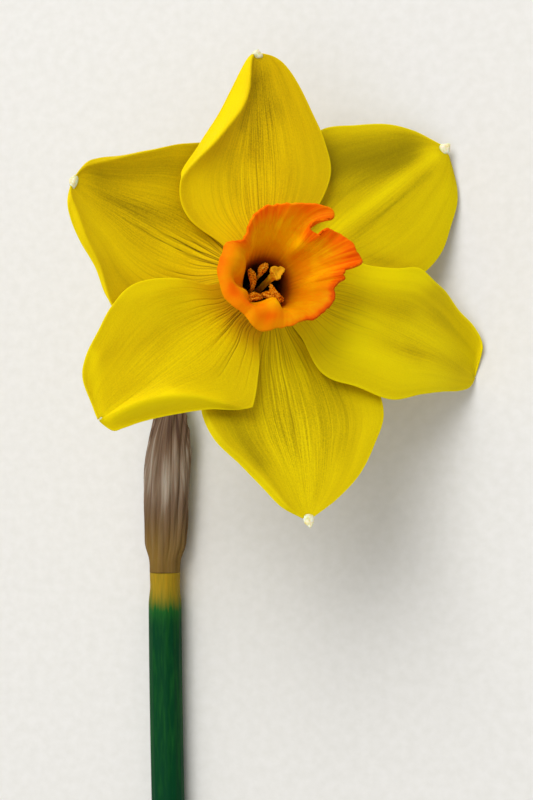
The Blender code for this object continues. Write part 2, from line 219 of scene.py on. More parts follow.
# Living petal tissue: a translucent yellow skin, olive where shade is painted and bright where highlights
# are painted, with dark veins at its foot, matt
def petalTissue(name, look):
    material, add = newMaterial(
        name, Roughness=0.6, IOR=1.38, Specular_IOR_Level=0.1, Subsurface_Weight=look["through"],
        Subsurface_Scale=0.0012, Subsurface_Radius=(1.0, 0.8, 0.03),
    )
    light, veiny, foot, own, grain, hue = [
        add("Attribute", attribute_name=mark).outputs["Fac"]
        for mark in ("light", "veiny", "foot", "own", "grain", "hue")
    ]
    coordinates = add("TexCoord").outputs
    parts = add("SeparateXYZ", {"Vector": coordinates["UV"]}).outputs
    along = add("CombineXYZ", {"X": parts["X"], "Y": parts["Y"], "Z": own})
    # fine veins 0.25 mm apart on a petal about 32 mm wide
    stretched = add("Mapping", {"Vector": along, "Scale": (120, 3.5, 1)})
    fine = add("TexNoise", {
        "Vector": stretched, "Scale": 1, "Detail": 3, "Roughness": 0.6, "Distortion": 0.15,
    })
    lines = add("MapRange", {
        "Value": fine, "From Min": 0.35, "From Max": 0.65, "To Min": -0.42, "To Max": 0.30,
    })
    # broad bands a few millimetres wide where the skin is paler or greener
    banded = add("Mapping", {"Vector": along, "Scale": (11, 1.2, 1)})
    broad = add("TexNoise", {"Vector": banded, "Scale": 1, "Detail": 3})
    bands = add("MapRange", {
        "Value": broad, "From Min": 0.3, "From Max": 0.7, "To Min": -0.15, "To Max": 0.15,
    })
    # skin cells about 0.1 mm across, drawn 0.3 mm so that they show
    cells = add("TexNoise", {
        "Vector": coordinates["Object"], "Scale": 1 / (0.3 * mm), "Detail": 2, "Roughness": 0.7,
    })
    speckle = add("MapRange", {
        "Value": cells, "From Min": 0.3, "From Max": 0.7, "To Min": -0.34, "To Max": 0.34,
    })
    drawn = add("Math", {0: lines, 1: grain}, operation="MULTIPLY")
    rough = add("Math", {0: grain, 1: 0.6, 2: 0.2}, operation="MULTIPLY_ADD")
    small = add("Math", {0: speckle, 1: rough, 2: drawn}, operation="MULTIPLY_ADD")
    # painted light and painted shade from the light mark, with broad bands and small marks, pick the colour
    # from olive to bright yellow
    level = add("Math", {0: light, 1: bands}, operation="ADD")
    level = add("Math", {0: level, 1: small}, operation="ADD")
    tone = add("MapRange", {"Value": level, "From Min": -1, "From Max": 1})
    skin = add("ValToRGB", {"Fac": tone}, stops=[
        (0.0, look["shadeOlive"]), (0.28, look["dull"]), (0.5, look["yellow"]), (0.75, look["clear"]),
        (1.0, look["highlightYellow"]),
    ])
    turned = add("HueSaturation", {"Color": skin, "Hue": hue})
    # the foot mark tints the petal's foot brown: painted shade where the cup shades it
    warmed = add("Mix", {0: foot, 6: turned, 7: linear(look["warm"])}, data_type="RGBA")
    # main veins: dark lines in the grooves of the petal, broken by its cells
    broken = add("MapRange", {
        "Value": cells, "From Min": 0.3, "From Max": 0.6, "To Min": 0.75, "To Max": 1.1,
    })
    vein = add("Math", {0: veiny, 1: broken}, operation="MULTIPLY", use_clamp=True)
    veined = add("Mix", {0: vein, 6: warmed.outputs[2], 7: linear(look["vein"])}, data_type="RGBA")
    height = add("Math", {0: fine, 1: cells}, operation="ADD")
    bump = add("Bump", {"Height": height, "Strength": 0.4, "Distance": 0.12 * mm})
    return finishSkin(material, veined.outputs[2], bump)


petalSkin = petalTissue("daffodil petal tissue, clear yellow", {
    "shadeOlive": "#806a00", "dull": "#ac9000", "yellow": "#d2b000", "clear": "#e8c600", "highlightYellow": "#f6d400",
    "warm": "#a86a04", "vein": "#5a4300", "through": 0.3,
})

# The fleshy white point at a petal's end: waxy, slightly translucent
pointFlesh, add = newMaterial(
    "white fleshy petal point", Roughness=0.42, IOR=1.4, Subsurface_Weight=0.3, Subsurface_Scale=0.001,
)
spots = add("TexCoord").outputs["Object"]
grain = add("TexNoise", {"Vector": spots, "Scale": 1 / (0.5 * mm), "Detail": 3})
tint = add("ValToRGB", {"Fac": grain}, stops=[
    (0.3, "#e9d98c"), (0.5, "#f6edc0"), (0.7, "#fffbea"),
])
bump = add("Bump", {"Height": grain, "Strength": 0.5, "Distance": 0.2 * mm})
finishSkin(pointFlesh, tint.outputs["Color"], bump)


# The cup's tissue: amber inside, red-orange at its frilled rim, with streaks that run up it
def cupTissue(look):
    material, add = newMaterial(
        "daffodil cup tissue, orange", Roughness=0.65, IOR=1.38, Specular_IOR_Level=0.05,
        Subsurface_Weight=0.3, Subsurface_Scale=0.0012, Subsurface_Radius=(1.0, 0.5, 0.03),
    )
    red, deep, glow, streaky = [
        add("Attribute", attribute_name=mark).outputs["Fac"] for mark in ("red", "deep", "glow", "streaky")
    ]
    # streaks about 0.6 mm apart round a rim 80 mm long
    around = roundAndAlong(add)
    stretched = add("Mapping", {"Vector": around, "Scale": (22, 22, 1.6)})
    streaks = add("TexNoise", {"Vector": stretched, "Scale": 1, "Detail": 3, "Roughness": 0.6})
    swing = add("MapRange", {
        "Value": streaks, "From Min": 0.32, "From Max": 0.68, "To Min": -0.34, "To Max": 0.34,
    })
    swing = add("Math", {0: swing, 1: streaky}, operation="MULTIPLY")
    spots = add("TexCoord").outputs["Object"]
    blotches = add("TexNoise", {"Vector": spots, "Scale": 1 / (4 * mm), "Detail": 3})
    patch = add("MapRange", {
        "Value": blotches, "From Min": 0.35, "From Max": 0.65, "To Min": -0.12, "To Max": 0.12,
    })
    level = add("Math", {0: red, 1: swing}, operation="ADD")
    level = add("Math", {0: level, 1: patch}, operation="ADD")
    skin = add("ValToRGB", {"Fac": level}, stops=[
        (0.0, look["pale"]), (0.2, look["amber"]), (0.45, look["orange"]), (0.7, look["deepOrange"]),
        (1.0, look["red"]),
    ])
    # painted light and painted shade: the cup's light mark brightens or darkens the skin
    lit = add("HueSaturation", {"Color": skin, "Value": glow})
    # the throat: its own brown and green tint with painted shade of the deep recess, brown where the wall
    # goes down, black-green at the bottom
    throatTintAndShade = add("ValToRGB", {"Fac": deep}, stops=[
        (0.0, look["amber"]), (0.4, look["brown"]), (0.75, look["throat"]), (1.0, look["dark"]),
    ])
    dim = add("MapRange", {"Value": deep, "From Max": 0.5}, interpolation_type="SMOOTHSTEP")
    shown = add("Mix", {0: dim, 6: lit, 7: throatTintAndShade}, data_type="RGBA")
    bump = add("Bump", {"Height": streaks, "Strength": 0.25, "Distance": 0.12 * mm})
    return finishSkin(material, shown.outputs[2], bump)


cupSkin = cupTissue({
    "pale": "#fab600", "amber": "#ee9800", "orange": "#f08400", "deepOrange": "#ee6c00", "red": "#e05600",
    "brown": "#a85204", "throat": "#4a2204", "dark": "#141204",
})


# Stem and stalk tissue: waxy, with fine ridges along it, and a colour for each end
def stalkTissue(name, colours, across, along, roughness, depth, warm=None, uneven=0.14, gloss=0.2):
    material, add = newMaterial(
        name, Roughness=roughness, IOR=1.42, Specular_IOR_Level=gloss, Subsurface_Weight=0.08,
        Subsurface_Scale=0.001,
    )
    tone = add("Attribute", attribute_name="tone").outputs["Fac"]
    around = roundAndAlong(add)
    stretched = add("Mapping", {"Vector": around, "Scale": (across, across, along)})
    streaks = add("TexNoise", {"Vector": stretched, "Scale": 1, "Detail": 4})
    swing = add("MapRange", {
        "Value": streaks, "From Min": 0.3, "From Max": 0.7, "To Min": -uneven, "To Max": uneven,
    })
    level = add("Math", {0: tone, 1: swing}, operation="ADD")
    skin = add("ValToRGB", {"Fac": level}, stops=colours).outputs["Color"]
    if warm:
        share = add("Attribute", attribute_name="warm").outputs["Fac"]
        warmed = add("Mix", {0: share, 6: skin, 7: linear(warm)}, data_type="RGBA")
        skin = warmed.outputs[2]
    bump = add("Bump", {"Height": streaks, "Strength": 0.6, "Distance": depth * mm})
    return finishSkin(material, skin, bump)


# across and along: how many streaks round and along a piece; depth: their relief in mm
stemSkin = stalkTissue("waxy daffodil stem, blue-green", [
    (0.0, "#ad8a1c"), (0.16, "#8c7a1c"), (0.38, "#1c5a20"), (0.6, "#023e1e"), (0.86, "#013828"),
    (1.0, "#c9cf9a"),
], across=5, along=30, roughness=0.5, depth=0.15, uneven=0.08, gloss=0.1)
stalkSkin = stalkTissue("waxy flower stalk, green", [
    (0.0, "#2f5d1e"), (0.5, "#4c7a26"), (1.0, "#7f9a33"),
], across=4, along=8, roughness=0.45, depth=0.1)
ovarySkin = stalkTissue("waxy ovary, green", [
    (0.0, "#2c5f22"), (0.5, "#437a2a"), (1.0, "#8aa53a"),
], across=4, along=4, roughness=0.38, depth=0.1)
# the darkest stops are painted shade inside the tube
tubeSkin = stalkTissue("petal tube tissue, yellow-green", [
    (0.0, "#0c0a04"), (0.25, "#3a2a06"), (0.5, "#9aa022"), (0.75, "#c2b416"), (1.0, "#dcb806"),
], across=5, along=3, roughness=0.45, depth=0.1)
sheathPaper = stalkTissue("dry papery spathe, brown", [
    (0.0, "#38271d"), (0.3, "#594232"), (0.55, "#78624e"), (0.8, "#a39585"), (1.0, "#cfc8bb"),
], across=6, along=3, roughness=0.75, depth=0.2, warm="#8f6f22")
filamentSkin = stalkTissue("filament tissue, yellow", [
    (0.0, "#8f7410"), (0.5, "#c49a12"), (1.0, "#dcb22a"),
], across=2, along=3, roughness=0.5, depth=0.05)
styleSkin = stalkTissue("style tissue, pale yellow", [
    (0.0, "#865204"), (0.25, "#d68a00"), (0.6, "#e6a408"), (1.0, "#ffd000"),
], across=3, along=4, roughness=0.8, depth=0.25, uneven=0.1)

# Pollen: loose grains that clump, powdery, no gloss
pollen, add = newMaterial(
    "pollen on an anther, orange", Roughness=0.95, IOR=1.45, Specular_IOR_Level=0.05,
)
spots = add("TexCoord").outputs["Object"]
clumps = add("TexVoronoi", {"Vector": spots, "Scale": 1 / (0.3 * mm)})
grain = add("TexNoise", {"Vector": spots, "Scale": 1 / (0.6 * mm), "Detail": 4})
mixed = add("Math", {0: clumps, 1: grain}, operation="ADD")
share = add("MapRange", {"Value": mixed, "From Min": 0.55, "From Max": 1.35})
tint = add("ValToRGB", {"Fac": share}, stops=[
    (0.05, "#ffcc50"), (0.35, "#ffae18"), (0.65, "#f48a00"), (1.0, "#904600"),
])
bump = add("Bump", {"Height": clumps, "Strength": 0.9, "Distance": 0.15 * mm}, invert=True)
finishSkin(pollen, tint.outputs["Color"], bump)
print("materials done")


petalMake = {
    "footRadius": 6.98, "footHalfWidth": 5.4, "pointHalfWidth": 0.4,  # mm
    "footShare": 0.11,  # how far up the widened foot reaches
    "columns": 168, "rows": 112, "thickness": 0.36,
    "marginStart": 0.8, "marginWeight": 0.4, "leastShare": 0.4,  # the margin is about two thirds as thick
    "crestSpread": 0.27, "crestSharp": 0.05, "uneven": 0.22, "unevenSize": 9.0,
    # the rim values at the end: a painted highlight along each petal's rim, and its width in mm
    "veinWidth": 0.11, "veinSpread": 0.9, "paintedRimHighlight": 0.6, "paintedRimHighlightWidth": 0.3,
}

# Half-widths and heights in mm. side runs from -1, right, to 1, left, as seen from the throat;
# along runs from 0 to 1.
# crest: height, how far the margin falls beyond it, how much painted highlight lies on the margin beyond it,
# where it starts, its side at six places along.
# strokes of painted highlight and painted shade: (along, side) to (along, side), width in mm, lighter for a
# painted highlight, greener for painted shade.
# veins: how many, depth in mm, darkness, reach.
# level: a painted brightness for the whole petal, as it is lit; warm: how much brown painted shade lies at
# its foot
petals = {
    "petal_top": {
        "bearing": 92.8, "length": 45.3, "whorl": 0.0, "lift": 3.5, "bow": 0.5, "sway": -3.0,
        "cup": (0.8, 0.8), "left": (4.8, 14.3, 15.9, 11.6, 7.4, 4.7, 3.0, 1.7),
        "right": (3.6, 11.3, 15.3, 14.3, 11.6, 9.0, 6.3, 3.4),
        "crestLeft": (2.6, 1.3, 0.85, 0.25, (1.25, 1.16, 0.97, 0.66, 0.35, 0.62)),
        "veins": (30, 0.05, 0.5, 0.8), "seed": 3, "slot": "petal_inner", "warm": 0.05, "level": 0.04,
        "grain": 1.1, "lemon": 0.0,
        "paintedLightStrokes": [
            ((0.87, -0.18), (0.72, -0.30), 2.4, -0.3), ((0.65, -0.2), (0.49, -0.07), 3.2, -0.22),
            ((0.85, 0.2), (0.62, 0.3), 1.0, -0.3), ((0.40, -0.74), (0.55, -0.5), 4.0, 0.2),
            ((0.35, 0.76), (0.15, 0.64), 4.0, 0.55), ((0.49, 0.44), (0.29, 0.27), 1.6, -0.15),
            ((0.1, 0.0), (0.3, 0.0), 6.0, 0.45),
        ],
        "point": (0.7, 1.6, 0.6),
    },
    "petal_right": {
        "bearing": -16.9, "length": 47.5, "whorl": 0.0, "lift": -5.5, "bow": 2.2, "sway": -3.0,
        "cup": (2.0, 0.0), "left": (4.8, 9.2, 10.0, 12.8, 12.1, 9.8, 7.8, 5.6),
        "right": (4.6, 13.9, 14.5, 14.2, 10.2, 6.9, 4.6, 2.6), "waveLeft": (0.9, 2.2, 0.6),
        "waveRight": (0.5, 1.6, 2.0), "ruffle": (0.16, 5.6, 0.6), "veins": (44, 0.04, 0.55, 0.5),
        "seed": 7, "slot": "petal_inner", "warm": 0.0, "level": 0.28, "grain": 0.5, "lemon": 0.012,
        "paintedLightStrokes": [
            ((0.10, 0.6), (0.60, 0.95), 2.8, 0.75), ((0.24, 0.15), (0.53, 0.33), 2.2, -0.3),
            ((0.35, -0.33), (0.64, -0.3), 1.6, -0.28), ((0.13, -0.7), (0.80, -0.85), 3.6, 0.4),
            ((0.65, 0.72), (0.87, 0.57), 3.0, -0.25), ((0.58, -0.16), (0.90, -0.07), 1.4, -0.2),
            ((0.05, 0.0), (0.3, -0.2), 5.0, 0.8), ((0.55, 0.1), (0.85, 0.2), 2.0, 0.15),
        ],
        "point": (0.4, 0.4, 0.1),
    },
    "petal_lower_left": {
        "bearing": -139.2, "length": 44.9, "whorl": 0.0, "lift": 2.5, "bow": 1.0, "sway": -3.0,
        "cup": (0.6, 0.6), "left": (3.6, 10.4, 14.3, 10.0, 6.8, 4.7, 3.7, 3.0),
        "right": (3.6, 12.2, 16.4, 15.8, 13.4, 11.1, 8.0, 2.7), "corner": (0.37, 0.9, 0.05),
        "crestLeft": (1.9, 1.4, 0.3, 0.34, (1.3, 1.22, 1.0, 0.60, 0.26, 0.08)),
        "veins": (20, 0.24, 1.2, 0.52), "seed": 11, "slot": "petal_inner", "warm": 0.6, "level": 0.2,
        "grain": 0.7, "lemon": 0.006,
        "paintedLightStrokes": [
            ((0.50, 0.86), (0.64, 0.52), 1.8, 0.35), ((0.66, 0.44), (0.96, 0.08), 1.7, 0.5),
            ((0.73, -0.64), (0.49, -0.37), 2.6, -0.18), ((0.62, -0.09), (0.27, 0.05), 4.5, 0.28),
            ((0.48, -1.0), (0.2, -1.0), 1.5, 0.3), ((0.07, 0.93), (0.30, 0.90), 2.2, 0.2),
            ((0.80, -0.9), (0.97, -0.5), 1.2, 0.4),
        ],
        "point": (0.3, 0.6, 0.1),
    },
    "petal_upper_left": {
        "bearing": 152.0, "length": 41.8, "whorl": -1.5, "lift": 3.0, "bow": -0.5, "sway": 1.2,
        "cup": (1.0, 0.8), "left": (4.8, 16.1, 20.5, 18.6, 13.2, 10.1, 7.2, 4.3),
        "right": (4.8, 17.0, 21.1, 18.1, 13.2, 9.4, 6.9, 4.4),
        "crestLeft": (0.9, 1.2, 0.3, 0.12, (1.2, 1.15, 1.08, 0.97, 0.88, 0.62)),
        "crestRight": (0.7, 1.0, 0.2, 0.12, (1.2, 1.15, 1.08, 1.0, 0.94, 0.72)),
        "veins": (32, 0.10, 1.1, 0.8), "seed": 5, "slot": "petal_outer", "warm": 0.12, "level": 0.03,
        "grain": 0.65, "lemon": 0.004,
        "paintedLightStrokes": [
            ((0.88, -0.45), (0.58, -0.69), 2.6, -0.35), ((0.78, -0.05), (0.42, -0.25), 3.0, -0.25),
            ((0.48, -0.70), (0.38, -0.40), 2.6, -0.25), ((0.83, 0.5), (0.30, 0.5), 4.0, 0.32),
            ((0.1, 0.2), (0.35, 0.1), 4.0, 0.4),
        ],
        "point": (0.9, 1.9, 0.3),
    },
    "petal_upper_right": {
        "bearing": 31.8, "length": 48.0, "whorl": -1.5, "lift": 4.6, "bow": -0.3, "sway": 3.0,
        "cup": (0.0, -1.2), "left": (3.6, 12.7, 17.8, 18.5, 15.0, 11.3, 6.8, 2.4),
        "right": (4.3, 10.5, 14.4, 16.0, 15.3, 12.3, 9.4, 5.0), "veins": (24, 0.04, 0.35, 0.8),
        "seed": 13, "slot": "petal_outer", "warm": 0.0, "level": 0.06, "grain": 0.35, "lemon": 0.013,
        "paintedLightStrokes": [
            ((0.20, 0.10), (0.93, 0.10), 1.5, 0.6), ((0.30, -0.24), (0.70, -0.10), 0.5, -0.12),
            ((0.30, -0.12), (0.86, -0.14), 0.8, -0.12), ((0.30, 0.42), (0.75, 0.30), 0.8, -0.15),
            ((0.45, 0.75), (0.82, 0.40), 4.8, -0.7), ((0.52, -0.37), (0.88, -0.6), 4.0, 0.22),
            ((0.1, 0.0), (0.3, 0.1), 4.0, 0.3), ((0.39, -0.52), (0.52, -0.83), 1.2, -0.2),
        ],
        "point": (1.3, 1.55, 0.5),
    },
    "petal_bottom": {
        "bearing": -83.0, "length": 45.8, "whorl": -1.5, "lift": 2.5, "bow": 0.0, "sway": -2.0,
        "cup": (0.3, 0.3), "left": (4.8, 13.4, 18.2, 19.1, 15.7, 11.7, 6.6, 2.2),
        "right": (4.8, 13.7, 17.4, 16.2, 11.6, 7.8, 5.0, 1.9),
        "crestRight": (0.5, 1.6, 0.25, 0.12, (1.2, 1.1, 0.97, 0.92, 0.85, 0.8)),
        "veins": (38, 0.06, 0.85, 0.9), "seed": 17, "slot": "petal_outer", "warm": 0.0, "level": 0.06,
        "grain": 1.1, "lemon": 0.013,
        "paintedLightStrokes": [
            ((0.05, 0.0), (0.2, 0.0), 6.0, 0.65), ((0.78, -0.05), (1.0, 0.0), 3.6, 0.22),
            ((0.82, 0.72), (0.60, 0.87), 3.0, 0.15), ((0.50, -0.8), (0.81, -1.0), 1.6, 0.1),
            ((0.30, -0.5), (0.55, -0.4), 3.0, -0.12), ((0.45, -0.8), (0.70, -0.75), 2.5, -0.3),
            ((0.40, 0.5), (0.65, 0.5), 3.0, -0.15),
        ],
        "point": (1.8, 1.4, 0.3),
    },
}


def crestHeight(side, along, crest):
    height, fall, glow, start, path = crest
    side = np.maximum(side, 0)
    spot = through(path, along)
    spread, sharp = petalMake["crestSpread"], petalMake["crestSharp"]
    level = np.exp(-(np.hypot(spot, sharp) - sharp) / spread)
    inner = np.exp(-(np.hypot(side - spot, sharp) - sharp) / spread)
    outer = 1 - fall * smooth((side - spot) / np.maximum(1 - spot, 0.05)) * smooth((1.02 - spot) / 0.1)
    ends = smooth((along - start) / 0.35) * (1 - 0.5 * smooth((along - 0.88) / 0.12))
    return height * (np.where(side < spot, inner, outer) - level) * ends


def petalPlan(petal, share, side):  # out and across in mm
    along = np.sin(share * math.pi / 2)
    left, right = [through((*petal[key], petalMake["pointHalfWidth"]), share) for key in ("left", "right")]
    half = np.where(side >= 0, left, right)
    if "ruffle" in petal:
        rise, waves, phase = petal["ruffle"]
        swing = np.sin(2 * math.pi * waves * along + phase)
        half = half + rise * swing * np.maximum(side, 0) * smooth(along / 0.2)
    if "corner" in petal:
        spot, rise, width = petal["corner"]
        half = half + rise * np.exp(-np.abs(along - spot) / width) * np.maximum(side, 0)
    claw = np.where(side >= 0, petal["left"][0], petal["right"][0])
    # the feet overlap all round the tube
    widen = (petalMake["footHalfWidth"] - claw) * (1 - smooth(along / petalMake["footShare"]))
    half = half + widen
    footAngle = side * np.arcsin((claw + widen) / petalMake["footRadius"])
    out = petalMake["footRadius"] * np.cos(footAngle) * (1 - along) + petal["length"] * along
    return along, half, out, side * half + petal["sway"] * along**2


def petalVeins(petal, share, side):  # 0 to 1 where a vein runs
    count, reach = petal["veins"][0], petal["veins"][3]
    rng = np.random.default_rng(petal["seed"])
    along, half, out, across = petalPlan(petal, share, side)
    found = np.zeros_like(along)
    for i in range(count):
        spot = petalMake["veinSpread"] * (2 * (i + 0.5 + rng.uniform(-0.4, 0.4)) / count - 1)
        spot = spot * (0.55 + 0.45 * abs(spot))  # closer together in the middle
        strength = rng.uniform(0.2, 1.0) * (1 - 0.8 * abs(spot))
        end = reach * rng.uniform(0.4, 1.1) * (1 - 0.35 * abs(spot))
        wander = 0.008 * np.sin(7 * along + rng.uniform(0, 6))
        wander = wander + 0.004 * np.sin(31 * along + rng.uniform(0, 6))
        gap = (side - spot - wander) * half
        fade = 1 - smooth((along - 0.3 * end) / (0.7 * end))
        found = np.maximum(found, strength * hill(gap, petalMake["veinWidth"] + 0.08 * along) * fade)
    return found


def petalPoint(petal, share, side):
    along, half, out, across = petalPlan(petal, share, side)
    height = petal["whorl"] * (0.35 + 0.65 * smooth(along / 0.25)) + petal["lift"] * along**2
    height = height + petal["bow"] * np.sin(math.pi * along)
    shaped = np.where(side >= 0, petal["cup"][0], petal["cup"][1]) * side**2 * np.sqrt(along)
    for key, sign in (("Left", 1), ("Right", -1)):
        if "crest" + key in petal:
            shaped = shaped + crestHeight(side * sign, along, petal["crest" + key])
        if "wave" + key in petal:
            rise, waves, phase = petal["wave" + key]
            swing = np.sin(2 * math.pi * waves * along + phase)
            shaped = shaped + rise * np.maximum(side * sign, 0) ** 2 * swing * along
    height = height + shaped * np.minimum(half / 5, 1)
    height = height - petal["veins"][1] * petalVeins(petal, share, side)
    waver = ripple(out, across, petal["seed"] * 7.0, petalMake["unevenSize"])
    height = height + petalMake["uneven"] * waver * smooth(along / 0.4)
    bearing = math.radians(petal["bearing"])
    x = out * math.cos(bearing) - across * math.sin(bearing)
    y = out * math.sin(bearing) + across * math.cos(bearing)
    return np.stack((x, y, height), axis=-1)


def petalMarks(petal, share, side):
    along, half, out, across = petalPlan(petal, share, side)
    # the light mark: the petal's painted brightness and a little random tone, then strokes of painted
    # highlight and painted shade
    light = petal["level"] + 0.12 * ripple(out, across * 2.2, petal["seed"] * 3.0, 11.0)
    for start, end, width, amount in petal["paintedLightStrokes"]:
        strokeAlong, strokeSide = np.array((start, end)).T
        plan = petalPlan(petal, np.arcsin(strokeAlong) / (math.pi / 2), strokeSide)
        first, last = np.stack(plan[2:], axis=-1)
        way = last - first
        spots = np.stack((out, across), axis=-1) - first
        t = np.clip(spots @ way / max(way @ way, 1e-9), 0, 1)
        gap = np.linalg.norm(spots - t[:, None] * way, axis=1)
        light = light + amount * hill(gap, width)
    for key, sign in (("Left", 1), ("Right", -1)):
        if "crest" + key in petal:
            height, fall, glow, start, path = petal["crest" + key]
            beyond = (side * sign - through(path, along)) * half
            # a painted highlight on the margin beyond the crest
            light = light + glow * smooth(beyond / 0.5 + 0.5) * smooth((along - start) / 0.3)
    edge = (1 - np.abs(side)) * half
    # a painted highlight along the petal's thin rim
    light = light + petalMake["paintedRimHighlight"] * hill(edge, petalMake["paintedRimHighlightWidth"]) * smooth(along / 0.25)
    return {
        "light": light,
        "veiny": np.clip(petal["veins"][2] * petalVeins(petal, share, side), 0, 1),
        # a brown painted shade at the foot, where the cup shades it
        "foot": petal["warm"] * (1 - smooth((along - 0.05) / 0.16)),
        "own": 0 * along + petal["seed"],
        "grain": petal["grain"] * (0.16 + 0.88 * hill(side, 0.45)) * (1 - 0.5 * smooth((along - 0.6) / 0.4)),
        "hue": 0.5 + petal["lemon"] + 0 * along,
    }


def addPetalPoint(name, petal):  # a small fleshy horn at the petal's end
    length, width, bend = petal["point"]
    before, tip = petalPoint(petal, np.array([0.93, 1.0]), np.zeros(2))
    way = (tip - before) / np.linalg.norm(tip - before)
    horn = addBall(name + "_point", 20, 14)
    x, y, z = readPoints(horn).T
    share = (z + 1) / 2
    taper = 1 - 0.75 * share**1.5
    sideways = np.cross(way, (0, 0, 1))
    sideways /= np.linalg.norm(sideways)
    upward = np.cross(sideways, way)
    lumps = 1 + 0.3 * ripple(x, y, z + petal["seed"], 0.6)
    spots = (
        tip + way * (share * (length + 1.0) - 1.0)[:, None]
        + sideways * (x * width * taper * lumps)[:, None]
        + upward * (y * width * 0.42 * taper * lumps + bend * share**2)[:, None]
    )
    writePoints(horn, fromBloom(spots))
    horn.data.materials.append(pointFlesh)
    shadeSmooth(horn)
    return horn


def addPetal(name, petal):
    columns = petalMake["columns"]
    piece = addSheet(
        name + "_skin", columns, petalMake["rows"], lambda u, v: fromBloom(petalPoint(petal, v, 2 * u - 1)),
        lambda u, v: petalMarks(petal, v, 2 * u - 1),
    )
    group = piece.vertex_groups.new(name="thick")
    start = petalMake["marginStart"]
    for i in range(len(piece.data.vertices)):
        side = abs(2 * (i % (columns + 1)) / columns - 1)
        thinner = (1 - petalMake["marginWeight"]) * max(side - start, 0) / (1 - start)
        group.add([i], 1 - thinner, "REPLACE")
    piece.data.materials.append(petalSkin)
    applyModifier(
        piece, "SOLIDIFY", thickness=petalMake["thickness"] * mm, offset=0, use_even_offset=False,
        vertex_group="thick", thickness_vertex_group=petalMake["leastShare"],
    )
    horn = addPetalPoint(name, petal)
    selectOnly(piece)
    horn.select_set(True)
    bpy.ops.object.join()
    finishPiece(piece, petal["slot"], None, name)


for name, petal in petals.items():
    addPetal(name, petal)
print("petals done")


# Stations round the rim: bearing at the foot, bearing at the rim, rim radius and height in mm,
# how far it is rolled. A hooked tongue hangs over a deep split between 42 and 63 degrees.
cup = {
    "footRadius": 5.0, "footHeight": 0.3, "sleeveRadius": 4.2, "sleeveHeight": -3.6, "sleeve": 0.12,
    "shift": (-0.55, -0.45),
    # where the rolled wall is lower or higher halfway up: bearing, spread in degrees, rise in mm
    "swells": [(-169, 10, -2.5), (-137, 10, -3.2), (-112, 10, 0.8)],
    "fold": -114.0, "thickness": 0.5, "columns": 432, "rows": 64,
    "teeth": 0.35, "pleats": 0.22, "ribs": 0.10, "uneven": 0.30,  # mm
    "rim": [
        (4, 4, 14.8, 11.0, 0), (10, 8, 15.2, 11.1, 0), (16, 14, 14.7, 11.2, 0), (23, 22, 14.1, 11.3, 0),
        (31, 33, 12.8, 11.1, 0), (37, 38, 12.0, 11.0, 0), (42, 42.5, 11.3, 10.9, 0),
        (45, 42.5, 10.5, 10.7, 0), (47, 42, 9.9, 10.5, 0), (49, 45.5, 9.5, 10.4, 0),
        (51, 51, 9.5, 10.4, 0), (53, 55.5, 9.9, 10.5, 0), (55, 57, 10.6, 10.7, 0),
        (57, 55, 11.3, 10.9, 0), (59, 49.6, 12.2, 11.0, 0), (61, 46.0, 13.0, 11.1, 0),
        (63, 44.2, 13.9, 11.1, 0), (65, 45.6, 14.8, 11.1, 0), (67, 49.6, 15.3, 11.1, 0),
        (70, 55, 15.0, 11.1, 0), (74, 62, 14.2, 11.1, 0), (80, 71, 13.3, 11.0, 0),
        (87, 82, 12.6, 11.0, 0), (97, 95, 12.2, 11.0, 0), (108, 107, 12.2, 11.0, 0),
        (119, 118, 11.5, 10.9, 0), (129, 129, 10.6, 10.7, 0.05), (139, 140, 9.8, 10.5, 0.15),
        (147, 148, 9.7, 10.2, 0.3), (153, 152, 11.2, 9.6, 0.6), (159, 157, 12.2, 9.1, 0.85),
        (168, 168, 12.5, 8.9, 1), (180, 180, 12.9, 8.8, 1), (192, 192, 13.3, 8.7, 1),
        (204, 204, 13.2, 8.7, 1), (215, 216, 12.5, 8.7, 1), (225, 225, 12.3, 8.8, 1),
        (235, 235, 12.9, 8.8, 1), (245, 245, 13.0, 8.8, 1), (256, 256, 11.8, 9.0, 0.9),
        (268, 268, 10.9, 9.3, 0.65), (282, 282, 10.5, 9.7, 0.4), (297, 297, 10.7, 10.1, 0.2),
        (312, 312, 10.8, 10.5, 0.1), (325, 325, 10.7, 10.7, 0.05), (336, 336, 10.0, 10.8, 0),
        (345, 345, 10.4, 10.8, 0), (350, 351, 11.7, 10.8, 0), (355, 355, 11.2, 10.9, 0),
        (359, 359, 11.6, 10.9, 0), (361.5, 361, 13.2, 11.0, 0),
    ],
}


def cupLap(column, share, turning=False):
    rim = np.array(cup["rim"], float)[:, column]
    over = 360 if turning else 0
    lap = np.concatenate((rim[-2:] - over, rim, rim[:3] + over))
    return through(lap, (2 + share * len(rim)) / (len(lap) - 1))


def near(bearing, centre, spread):  # 1 at a bearing, fading over a spread in degrees
    return hill((bearing - centre + 180) % 360 - 180, spread)


